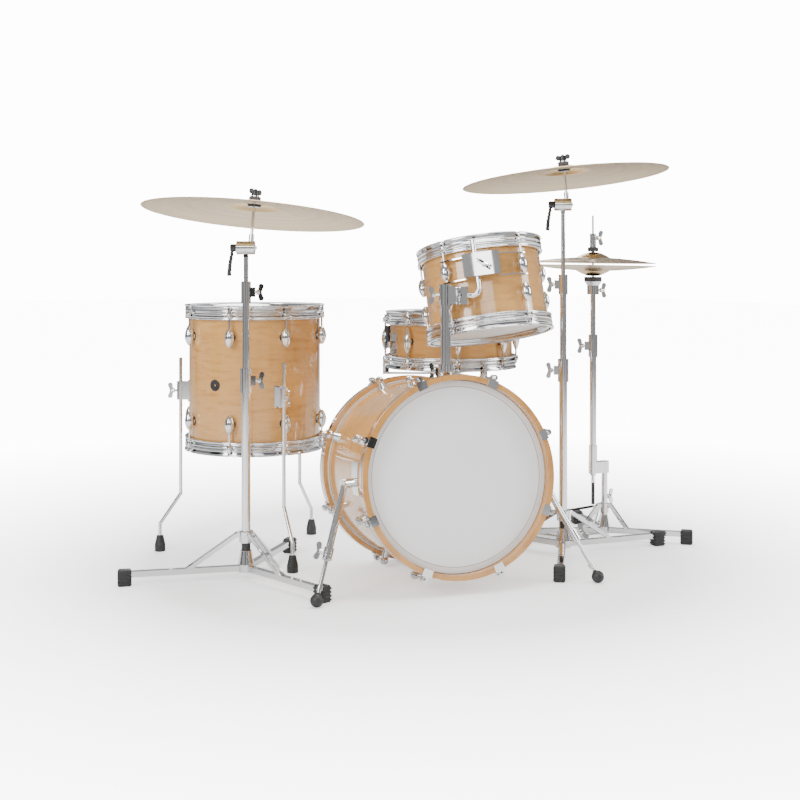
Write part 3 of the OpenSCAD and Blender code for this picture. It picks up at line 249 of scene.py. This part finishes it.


# Plastic film: faint haze, painted shade darkening the rim where it bends over the edge, and a thin painted
# shadow line inside it
def headMaterial(name, centre, axis, radius, tone, edge, gloss):
    s = Shader(name)
    moved, height, away = s.along(centre, axis)
    haze = s.noise(s.place, 5.0, 4.0, 0.6)
    coat = s.noise(s.place, 1300.0, 2.0)
    colour = s.blend(haze, (*tone, 1), (*[c * 0.94 for c in tone], 1))
    # painted shade towards the hoop, and a painted shadow line where the hoop meets the film; edge sets how
    # strong both are
    paintedEdgeShade = s.span(away, radius - 0.016, radius - 0.010)
    paintedShadowLine = s.between(away, radius - 0.0145, radius - 0.0125)
    colour = s.blend(s.math("MULTIPLY", paintedEdgeShade, edge), colour, (*[c * 0.8 for c in tone], 1))
    colour = s.blend(s.math("MULTIPLY", paintedShadowLine, edge), colour, (*[c * 0.45 for c in tone], 1))
    return s.finish(baseColor=colour, roughness=s.span(haze, 0.3, 0.7, gloss, gloss + 0.1),
                    subsurfaceWeight=0.08, subsurfaceRadius=(0.004, 0.004, 0.003),
                    normal=s.bump(coat, 0.0001, 0.5))


# Bronze: lathe grooves round the axis, hammer dimples, slightly uneven colour
def bronzeMaterial(name, centre, axis, bellRadius, grooves):
    s = Shader(name)
    moved, height, away = s.along(centre, axis)
    wobble = s.math("MULTIPLY", s.noise(moved, 9.0, 2.0), 0.0010)
    ringPlace = s.add("ShaderNodeCombineXYZ")
    s.plug(s.math("ADD", away, wobble), ringPlace.inputs["X"])
    fine = s.noise(ringPlace.outputs[0], grooves, 3.0, 0.7)
    broad = s.noise(ringPlace.outputs[0], 38.0, 3.0, 0.6)
    dimples = s.add("ShaderNodeTexVoronoi", feature="SMOOTH_F1")
    s.plug(moved, dimples.inputs["Vector"])
    dimples.inputs["Scale"].default_value = 46.0
    onBow = s.math("GREATER_THAN", away, bellRadius)
    hammered = s.math("MULTIPLY", dimples.outputs["Distance"], onBow)
    stain = s.noise(moved, 6.0, 4.0, 0.6)
    colour = s.ramp(broad, [(0.25, (0.38, 0.25, 0.11)), (0.5, (0.54, 0.385, 0.185)),
                            (0.8, (0.68, 0.52, 0.29))])
    colour = s.blend(s.span(stain, 0.4, 0.75, 0, 0.35), colour, (0.42, 0.28, 0.13, 1))
    height = s.math("ADD", s.math("MULTIPLY", fine, 0.55), s.math("MULTIPLY", hammered, 0.9))
    return s.finish(baseColor=colour, metallic=1.0, roughness=s.span(fine, 0.3, 0.7, 0.20, 0.34),
                    anisotropic=0.5, normal=s.bump(height, 0.00045, 0.55))


# Mesh building
def newPiece(name, build, body, material, smooth=True):
    mesh = bpy.data.meshes.new(name)
    shape = bmesh.new()
    build(shape)
    bmesh.ops.recalc_face_normals(shape, faces=shape.faces)
    if smooth:
        for face in shape.faces:
            face.smooth = True
        for edge in shape.edges:
            if len(edge.link_faces) == 2 and edge.calc_face_angle(0) > math.radians(40):
                edge.smooth = False
    shape.to_mesh(mesh)
    shape.free()
    mesh.materials.append(material)
    made = bpy.data.objects.new(name, mesh)
    scene.collection.objects.link(made)
    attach(made, body)
    return made


def frameOf(centre, axis, turn=0.0):
    quat = upward.rotation_difference(Vector(axis).normalized())
    return Matrix.Translation(centre) @ quat.to_matrix().to_4x4() @ Matrix.Rotation(turn, 4, "Z")


# Adds a finished part to a piece's shape, moved to its place
def join(shape, part, place):
    bmesh.ops.transform(part, matrix=place, verts=part.verts)
    bmesh.ops.recalc_face_normals(part, faces=part.faces)
    mesh = bpy.data.meshes.new("part")
    part.to_mesh(mesh)
    part.free()
    shape.from_mesh(mesh)
    bpy.data.meshes.remove(mesh)


# Spins a closed profile of (radius, height) about the frame's Z axis
def spun(shape, profile, place, steps=96):
    part = bmesh.new()
    ring = [part.verts.new((r, 0, z)) for r, z in profile]
    edges = [part.edges.new((ring[i], ring[(i + 1) % len(ring)])) for i in range(len(ring))]
    bmesh.ops.spin(part, geom=ring + edges, cent=(0, 0, 0), axis=(0, 0, 1),
                   angle=2 * math.pi, steps=steps, use_merge=True)
    join(shape, part, place)


def block(shape, size, place, bevel=0.0, segments=3):
    part = bmesh.new()
    bmesh.ops.create_cube(part, size=1.0)
    bmesh.ops.scale(part, vec=size, verts=part.verts)
    if bevel:
        bmesh.ops.bevel(part, geom=part.edges[:], offset=bevel, offset_type="OFFSET",
                        segments=segments, profile=0.5, affect="EDGES", material=-1)
    join(shape, part, place)


# Camera, light, floor
print("stage: camera and light")
view = {"place": (-1.0806, -3.1956, 0.785), "turn": -18.0, "lens": 56.25, "shiftY": -0.16875}
camera = bpy.data.cameras.new("camera")
camera.lens = view["lens"]
camera.sensor_width = 36.0
camera.shift_y = view["shiftY"]
camera.clip_end = 60
cameraObject = bpy.data.objects.new("camera", camera)
cameraObject.location = view["place"]
cameraObject.rotation_euler = (math.radians(90), 0, math.radians(view["turn"]))
scene.collection.objects.link(cameraObject)
scene.camera = cameraObject

lights = [
    {"name": "overhead", "place": (0.2, 0.2, 3.4), "aim": (0, 0.2, 0.4),
     "size": (3.0, 2.2), "power": 190},
    {"name": "leftSoft", "place": (-3.2, -1.8, 2.2), "aim": (0, 0, 0.6),
     "size": (1.3, 2.2), "power": 120},
    {"name": "rightSoft", "place": (3.2, -1.4, 1.9), "aim": (0, 0.1, 0.6),
     "size": (1.0, 2.0), "power": 80},
    {"name": "frontSoft", "place": (-1.6, -4.6, 2.5), "aim": (0, 0, 0.5),
     "size": (2.4, 1.4), "power": 55},
    {"name": "backSoft", "place": (0.6, 3.4, 2.4), "aim": (0, 0, 0.7),
     "size": (2.6, 1.2), "power": 80},
]
for spec in lights:
    lamp = bpy.data.lights.new(spec["name"], "AREA")
    lamp.shape = "RECTANGLE"
    lamp.size, lamp.size_y = spec["size"]
    lamp.energy = spec["power"]
    lampObject = bpy.data.objects.new(spec["name"], lamp)
    lampObject.location = spec["place"]
    aim = Vector(spec["aim"]) - Vector(spec["place"])
    lampObject.rotation_euler = aim.to_track_quat("-Z", "Y").to_euler()
    scene.collection.objects.link(lampObject)

world = bpy.data.worlds.new("studio")
world.use_nodes = True
background = world.node_tree.nodes["Background"]
background.inputs["Color"].default_value = (1.0, 1.0, 1.0, 1)
# what the camera sees directly is a bright white backdrop; the object is lit by a softer one
seen = world.node_tree.nodes.new("ShaderNodeLightPath").outputs["Is Camera Ray"]
strength = world.node_tree.nodes.new("ShaderNodeMapRange")
strength.inputs["To Min"].default_value = 0.42
strength.inputs["To Max"].default_value = 14.0
world.node_tree.links.new(seen, strength.inputs["Value"])
world.node_tree.links.new(strength.outputs["Result"], background.inputs["Strength"])
scene.world = world

# dark cards beside and above the camera, for the chrome to reflect
cardShader = Shader("darkCard")
cardShader.finish(baseColor=(0.01, 0.01, 0.01, 1), roughness=0.9)
cards = [((-2.3, -4.6, 0.9), (0.9, 3.2)), ((1.1, -5.0, 1.0), (0.7, 3.0)), ((4.2, -2.2, 1.2), (1.0, 3.0)),
         ((-4.4, -0.4, 1.2), (1.2, 3.0)), ((3.6, 3.4, 1.2), (1.2, 2.8)), ((-3.6, 3.2, 1.2), (1.0, 2.8))]
cardMesh = bpy.data.meshes.new("cards")
cardShape = bmesh.new()
for place, (wide, high) in cards:
    face = Vector((-place[0], -place[1], 0)).to_track_quat("Z", "Y").to_matrix().to_4x4()
    block(cardShape, (wide, high, 0.01), Matrix.Translation(place) @ face)
cardShape.to_mesh(cardMesh)
cardShape.free()
cardMesh.materials.append(cardShader.material)
cardObject = bpy.data.objects.new("cards", cardMesh)
cardObject.visible_camera = False
cardObject.visible_shadow = False
cardObject.visible_diffuse = False
scene.collection.objects.link(cardObject)

floorMesh = bpy.data.meshes.new("floor")
floorMesh.from_pydata([(-14, -9, 0), (14, -9, 0), (14, 26, 0), (-14, 26, 0)], [], [(0, 1, 2, 3)])
floorShader = Shader("paleFloor")
scuff = floorShader.noise(floorShader.place, 3.0, 5.0, 0.6)
floorSeen = floorShader.add("ShaderNodeLightPath").outputs["Is Camera Ray"]
floorAway = floorShader.span(floorShader.vector("LENGTH", floorShader.place), 0.7, 2.6, 0.8, 12.0)
floorMesh.materials.append(floorShader.finish(
    baseColor=floorShader.blend(scuff, (0.86, 0.86, 0.86, 1), (0.88, 0.88, 0.88, 1)),
    roughness=floorShader.span(scuff, 0.3, 0.7, 0.55, 0.7),
    emissionColor=(1, 1, 1, 1), emissionStrength=floorShader.math("MULTIPLY", floorSeen, floorAway)))
floorObject = bpy.data.objects.new("floor", floorMesh)
scene.collection.objects.link(floorObject)

# Materials of the CAD nodes
print("stage: materials")
palePly = (0.66, 0.345, 0.105)
darkPly = (0.52, 0.235, 0.058)
hoopPly = (0.58, 0.285, 0.082)
darkHoopPly = (0.42, 0.185, 0.045)
black = (0.012, 0.012, 0.013)
felt = (0.05, 0.05, 0.055)

chrome = chromeMaterial("chromePlate")
rubber = rubberMaterial("blackRubber")
darkMetal = rubberMaterial("blackEnamel", (0.02, 0.02, 0.022), 0.32)


def dress(node, material):
    nodes[node].data.materials.clear()
    nodes[node].data.materials.append(material)


for name in nodes:
    dress(name, chrome)

shells = {"bass_shell": (bassMiddle, bassAxis), "floor_tom_shell": (floorMiddle, upward),
          "tom_shell": (tomMiddle, tomAxis), "snare_shell": (snareMiddle, upward)}
for name, (centre, axis) in shells.items():
    dress(name, mapleMaterial(name + ".maple", centre, axis, 6.0, palePly, darkPly))
dress("bass_hoops", mapleMaterial("hoop.maple", bassMiddle, bassAxis, 8.0, hoopPly, darkHoopPly))

hoopReach = 0.019  # how far a cast hoop comes down over its shell
castHoops = {"floor_tom_hoops": ("floor", floorMiddle, upward), "tom_hoops": ("tom", tomMiddle, tomAxis),
             "snare_hoops": ("snare", snareMiddle, upward)}
for name, (drum, centre, axis) in castHoops.items():
    dress(name, hoopMaterial(name + ".cast", centre, axis, drumSizes[drum]["half"], hoopReach))

# the fifth value sets the painted edge shade and painted shadow line (bass head only)
heads = {"bass_heads": ("bass", bassMiddle, bassAxis, (0.90, 0.905, 0.915), 1.0, 0.32),
         "floor_tom_heads": ("floor", floorMiddle, upward, (0.82, 0.82, 0.81), 0.0, 0.5),
         "tom_heads": ("tom", tomMiddle, tomAxis, (0.82, 0.82, 0.81), 0.0, 0.5),
         "snare_heads": ("snare", snareMiddle, upward, (0.84, 0.84, 0.83), 0.0, 0.5)}
for name, (drum, centre, axis, tone, edge, gloss) in heads.items():
    dress(name, headMaterial(name + ".film", centre, axis, drumSizes[drum]["radius"], tone, edge, gloss))

for i in (1, 2, 3):
    name = f"floor_leg_{i}"
    centre = middle(name)
    dress(name, chromeMaterial(name + ".chrome", (centre.x, centre.y, 0), upward,
                               [(-0.01, 0.0432, -1.0, 0.5, black, 0.5)]))
for side in ("left", "right"):
    place, _ = jointPlace(side + "_spur_swing")
    slide = Vector(jointNamed(side + "_spur_length")["axis"]).normalized()
    dress(side + "_spur_rod", chromeMaterial(side + "Spur.chrome", place, slide,
                                             [(0.274, 0.40, -1.0, 0.5, black, 0.5)]))

# cymbal rods: felts, sleeves and black wing nuts
for side in ("ride", "crash"):
    place, axis = jointPlace(side + "_spin")
    seat = 0.119 if side == "ride" else 0.107
    dress(side + "_tilter", chromeMaterial(side + "Tilter.chrome", place, axis, [
        (seat - 0.0109, seat - 0.0018, 0.0045, 0.1, felt, 0.9),
        (seat - 0.0159, seat - 0.0109, 0.0045, 0.1, black, 0.4),
        (seat + 0.0003, seat + 0.0096, 0.0045, 0.1, felt, 0.9),
        (seat + 0.0126, seat + 0.0600, -1.0, 0.1, black, 0.35)]))
    base, _ = jointPlace(side + "_tilt")
    dress(side + "_stand_base", chromeMaterial(side + "Stand.chrome", (base.x, base.y, 0), upward, [
        (0.0720, 0.0918, -1.0, 0.0185, black, 0.4)]))
hatPlace, _ = jointPlace("hihat_top_spin")
dress("hihat_pull_rod", chromeMaterial("hatRod.chrome", (hatPlace.x, hatPlace.y, 0), upward, [
    (0.8225, 0.8350, 0.0055, 0.1, felt, 0.9),
    (0.8080, 0.8200, 0.0055, 0.1, felt, 0.9),
    (0.0500, 0.1660, -1.0, 0.1, black, 0.45)]))
dress("hihat_upper_tube", chromeMaterial("hatSeat.chrome", (hatPlace.x, hatPlace.y, 0), upward, [
    (0.7385, 0.7530, -1.0, 0.1, felt, 0.9)]))
dress("hihat_footboard", darkMetal)
dress("snare_lever", darkMetal)
fold = jointPlace("snare_tilt")[0]
dress("snare_basket", chromeMaterial("basket.chrome", (fold.x, fold.y, 0), upward, [
    (0.4735, 0.4985, 0.150, 0.1905, black, 0.5)]))
dress("tom_suspension", chromeMaterial("suspension.chrome", tomMiddle, tomAxis, [
    (-0.2, 0.2, 0.1932, 0.1990, black, 0.3)]))

# Cymbals
print("stage: cymbals")
cymbalFacts = {"thick": 0.0014, "hole": 0.0065, "rings": 44, "steps": 160}


def dish(q, r, bow, bell, bellR):
    return bow * (1 - (q / r) ** 2) + (bell * (1 - (q / bellR) ** 2) if q < bellR else 0.0)


def cymbalProfile(r, bow, bell, bellR):
    hole, thick, rings = cymbalFacts["hole"], cymbalFacts["thick"], cymbalFacts["rings"]
    radii = [hole + (bellR - hole) * i / 16 for i in range(16)]
    radii += [bellR + (r - 0.0007 - bellR) * i / rings for i in range(rings + 1)]
    top = [(q, dish(q, r, bow, bell, bellR)) for q in radii]
    low = [(q, dish(q, r, bow, bell, bellR) - thick) for q in reversed(radii)]
    edge = [(r - 0.0002, -0.35 * thick), (r, -0.5 * thick), (r - 0.0002, -0.65 * thick)]
    return top + edge + low


cymbalKinds = {"large": {"radius": 0.2794, "bow": 0.022, "bell": 0.015, "bellRadius": 0.074, "grooves": 900},
               "hat": {"radius": 0.1778, "bow": 0.015, "bell": 0.015, "bellRadius": 0.048, "grooves": 1100}}
# piece, replaced node, body, joint, rise above the joint's place, kind, face up or down
cymbals = [
    ("rideCymbal", "ride_cymbal", "ride_cymbal", "ride_spin", 0.082, "large", 1),
    ("crashCymbal", "crash_cymbal", "crash_cymbal", "crash_spin", 0.070, "large", 1),
    ("hatTopCymbal", "hihat_top_cymbal", "hihat_top", "hihat_top_spin", 0.0, "hat", 1),
    ("hatBottomCymbal", "hihat_bottom_cymbal", "hihat_bottom", "hihat_bottom_spin", 0.0, "hat", -1),
]
for name, node, body, joint, rise, kind, face in cymbals:
    place, axis = jointPlace(joint)
    centre = place + axis * rise
    facts = cymbalKinds[kind]
    profile = cymbalProfile(facts["radius"], facts["bow"], facts["bell"], facts["bellRadius"])
    if face < 0:
        profile = [(q, -z) for q, z in profile]
    material = bronzeMaterial(name + ".bronze", centre, axis, facts["bellRadius"], facts["grooves"])

    def spinProfile(shape):
        spun(shape, profile, frameOf(centre, axis), cymbalFacts["steps"])

    made = newPiece(name, spinProfile, body, material)
    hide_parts(node)

# Trim of the bass drum
print("stage: trim")
hoopTrim = {"radius": 0.244, "thick": 0.00045, "inlay": 0.0125, "mid": 0.1838}


def hoopBands(shape):
    for end in (-1, 1):
        mid = hoopTrim["mid"] * end
        half = hoopTrim["inlay"] / 2
        r = hoopTrim["radius"]
        spun(shape, [(r - 0.001, mid - half), (r + hoopTrim["thick"], mid - half),
                     (r + hoopTrim["thick"], mid + half), (r - 0.001, mid + half)],
             frameOf(bassMiddle, bassAxis), 128)


silver = chromeMaterial("inlaySilver", tone=0.72)
newPiece("hoopInlay", hoopBands, "kit", silver)

# rounded beads that run round each cast hoop, at its lower edge and its waist
bead = {"out": 0.0105, "edge": 0.0016, "edgeDrop": 0.0172, "waist": 0.0009, "waistRise": 0.0030}


def hoopBeads(radius, half, centre, axis):
    def build(shape):
        for end in (-1, 1):
            for size, rise in ((bead["edge"], -bead["edgeDrop"]), (bead["waist"], bead["waistRise"])):
                mid = end * (half + rise)
                turns = [2 * math.pi * i / 12 for i in range(12)]
                circle = [(radius + bead["out"] + size * math.cos(t), mid + size * math.sin(t)) for t in turns]
                spun(shape, circle, frameOf(centre, axis), 128)
    return build


for drum, body, centre, axis in (("floor", "kit", floorMiddle, upward),
                                 ("tom", "rack_tom", tomMiddle, tomAxis),
                                 ("snare", "snare_drum", snareMiddle, upward)):
    build = hoopBeads(drumSizes[drum]["radius"], drumSizes[drum]["half"], centre, axis)
    newPiece(drum + "Beads", build, body, chrome)

# black gaskets under every lug
gasket = {"rise": 0.0012, "wide": 0.0030, "floorFoot": 0.009, "snareFoot": 0.0079, "floorDown": 0.065}


def gaskets(radius, centre, axis, angles, heights, footR):
    def build(shape):
        for angle in angles:
            for z in heights:
                place = frameOf(centre, axis) @ Matrix.Rotation(angle, 4, "Z")
                place = place @ Matrix.Translation((radius - 0.0012, 0, z))
                place = place @ Matrix.Rotation(math.radians(90), 4, "Y")
                spun(shape, [(footR - 0.001, 0), (footR + gasket["wide"], 0),
                             (footR + gasket["wide"], gasket["rise"] + 0.0004),
                             (footR + gasket["wide"] - 0.0008, gasket["rise"] + 0.0012),
                             (footR - 0.001, gasket["rise"] + 0.0012)], place, 40)
    return build


def degrees(values):
    return [math.radians(v) for v in values]


floorSize = drumSizes["floor"]
lugHeight = floorSize["half"] - gasket["floorDown"]
newPiece("floorGaskets", gaskets(floorSize["radius"], floorMiddle, upward,
                                 degrees([13.5 + 45 * i for i in range(8)]), (lugHeight, -lugHeight),
                                 gasket["floorFoot"]), "kit", rubber)
newPiece("snareGaskets", gaskets(drumSizes["snare"]["radius"], snareMiddle, upward,
                                 degrees([30.4 + 45 * i for i in range(8)]), (0.0,),
                                 gasket["snareFoot"]), "snare_drum", rubber)

# Rubber feet
print("stage: feet")
footFacts = {"long": 0.034, "wide": 0.030, "high": 0.040, "bevel": 0.0035, "ribs": 4, "rib": 0.0012}
rideFoot = jointPlace("ride_tilt")[0]
crashFoot = jointPlace("crash_tilt")[0]
standFeet = [(rideFoot.x, rideFoot.y, 0.297, (175.5, 295.5, 55.5)),
             (crashFoot.x, crashFoot.y, 0.297, (2.8, 122.8, 242.8)),
             (hatPlace.x + 0.0379, hatPlace.y + 0.0034, 0.229, (-33, 84, 166))]


# Block with rounded edges, a band of ribs round its sides
def footBlocks(shape):
    long, wide, high = footFacts["long"], footFacts["wide"], footFacts["high"]
    for x, y, reach, angles in standFeet:
        for angle in angles:
            place = Matrix.Translation((x, y, 0)) @ Matrix.Rotation(math.radians(angle), 4, "Z")
            place = place @ Matrix.Translation((reach, 0, 0))
            shrink = footFacts["rib"] * 2
            block(shape, (long - shrink, wide - shrink, high),
                  place @ Matrix.Translation((0, 0, high / 2)), footFacts["bevel"])
            for i in range(footFacts["ribs"]):
                z = 0.006 + i * 0.0088
                block(shape, (long, wide, 0.0046), place @ Matrix.Translation((0, 0, z)), 0.0011, 2)


feet = newPiece("standFeet", footBlocks, "kit", rubber)
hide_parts("rubber_feet")

# Badge, levers
print("stage: badge and levers")
badgeFacts = {"radius": 0.0150, "thick": 0.0016, "angle": 223.0, "height": 0.470}


def badgeDisc(shape):
    place = Matrix.Translation((floorMiddle.x, floorMiddle.y, badgeFacts["height"]))
    place = place @ Matrix.Rotation(math.radians(badgeFacts["angle"]), 4, "Z")
    place = place @ Matrix.Translation((0.1772, 0, 0)) @ Matrix.Rotation(math.radians(90), 4, "Y")
    r, t = badgeFacts["radius"], badgeFacts["thick"]
    spun(shape, [(0.0025, 0), (r, 0), (r, t), (r - 0.0006, t + 0.0004), (r - 0.0016, t + 0.0004),
                 (r - 0.0020, t), (0.0030, t), (0.0026, t - 0.0004)], place, 64)


newPiece("ventBadge", badgeDisc, "kit", darkMetal)

barrelTurn = math.radians(-18)
leverFacts = {"hub": 0.0095, "hubLong": 0.016, "long": 0.070, "wide": 0.0075, "out": 0.0235}


# Ratchet handle hanging from the left end of a tilter's barrel
def leverHandle(centre, axis):
    def build(shape):
        side = frameOf(centre, -axis)
        r, out, deep = leverFacts["hub"], leverFacts["out"], leverFacts["hubLong"]
        spun(shape, [(0.002, out), (r - 0.001, out), (r, out + 0.001), (r, out + deep - 0.002),
                     (r - 0.002, out + deep), (0.002, out + deep)], side, 40)
        foot = centre - axis * (out + deep * 0.55)
        for i in range(7):
            t = (i + 0.5) / 7
            size = leverFacts["wide"] * (1 + 0.5 * t)
            drop = Vector((0, 0, -1)) * leverFacts["long"] * t - axis * 0.010 * math.sin(t * 1.5)
            block(shape, (size, size * 0.8, leverFacts["long"] / 7 * 1.15),
                  Matrix.Translation(foot + drop) @ Matrix.Rotation(barrelTurn, 4, "Z"), size * 0.3, 3)
    return build


barrelDir = Vector((math.cos(barrelTurn), math.sin(barrelTurn), 0))
for side in ("ride", "crash"):
    newPiece(side + "Lever", leverHandle(jointPlace(side + "_tilt")[0], barrelDir), side + "_top",
             darkMetal)
